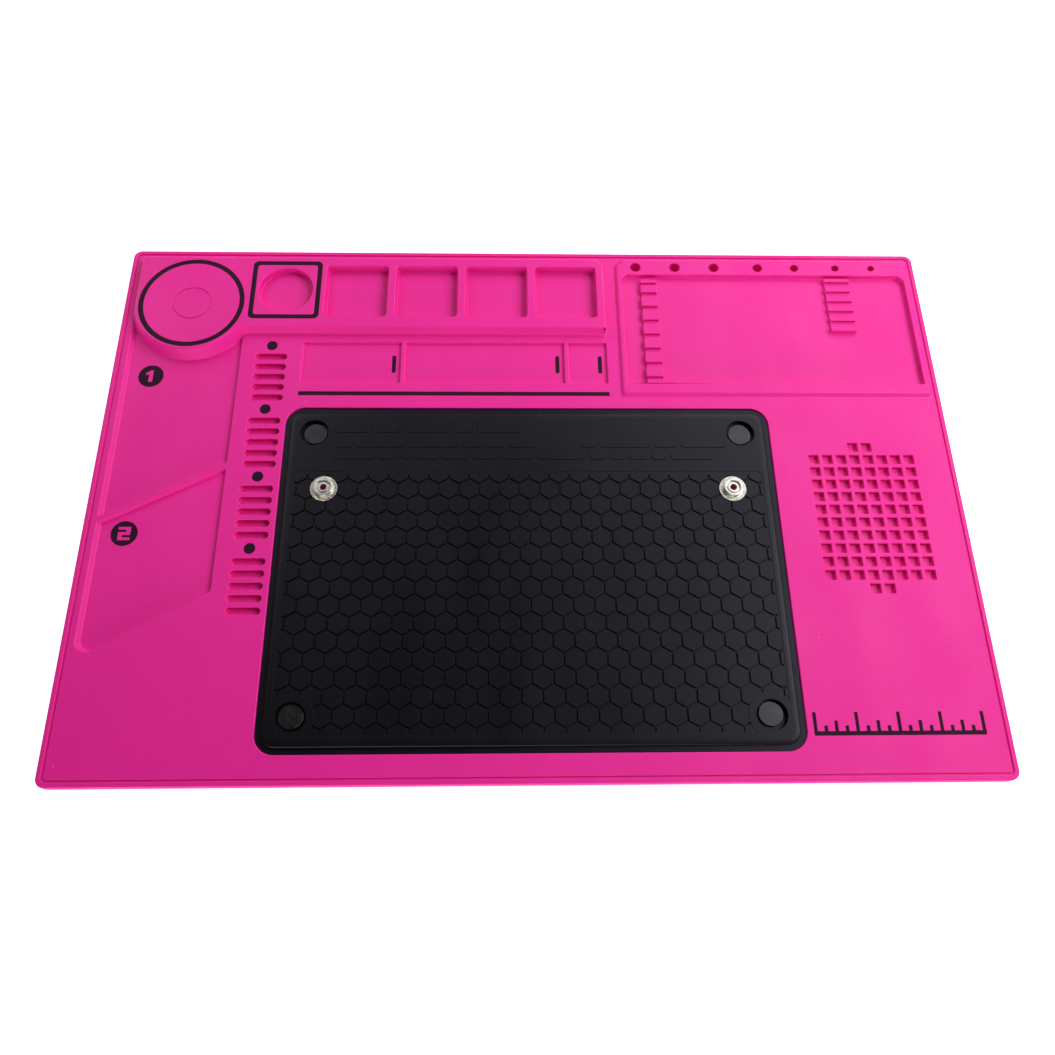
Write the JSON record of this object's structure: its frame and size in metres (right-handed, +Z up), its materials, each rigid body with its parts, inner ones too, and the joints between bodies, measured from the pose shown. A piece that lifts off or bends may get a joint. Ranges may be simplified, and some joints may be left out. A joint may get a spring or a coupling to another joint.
{
  "type": "silicone soldering mat",
  "caption": "Silicone soldering mat with moulded parts compartments, trays and bit holders, and a lift-out black anti-static centre pad with grounding snaps.",
  "frame": {"origin": "centre of the flat underside, on the bench", "axes": "+X to the right along the long side, +Y towards the far edge with the compartments, +Z up"},
  "size_m": [0.45, 0.3, 0.0105],
  "materials": {
    "pink_silicone": "satin moulded silicone",
    "black_silicone": "fine matte anti-static silicone with a glossy edge",
    "inlay_silicone": "matte black silicone set into the pink",
    "magnet": "dark nickel plate, dulled",
    "snap_metal": "nickel-plated brass"
  },
  "bodies": {
    "mat": {"base_mat": "pink_silicone", "dish_magnet": "magnet", "dish_ring_inlay": "inlay_silicone", "jar_frame_inlay": "inlay_silicone", "divider_bar_inlay": "inlay_silicone", "rear_zone_badge": "inlay_silicone", "front_zone_badge": "inlay_silicone", "corner_scale_inlay": "inlay_silicone", "left_tray_mark": "inlay_silicone", "middle_tray_mark": "inlay_silicone", "right_tray_mark": "inlay_silicone", "slot_dot_1": "inlay_silicone", "slot_dot_2": "inlay_silicone", "slot_dot_3": "inlay_silicone", "slot_dot_4": "inlay_silicone"},
    "pad": {"center_pad": "black_silicone", "rear_left_magnet": "magnet", "rear_right_magnet": "magnet", "front_left_magnet": "magnet", "front_right_magnet": "magnet", "left_grip_washer": "snap_metal", "left_snap_stud": "snap_metal", "left_eyelet": "snap_metal", "right_grip_washer": "snap_metal", "right_snap_stud": "snap_metal", "right_eyelet": "snap_metal"}
  },
  "joints": [
    {"name": "pad_lift", "type": "slide", "parent": "mat", "child": "pad", "axis": [0, 0, 1], "range_m": [0, 0.02]}
  ]
}
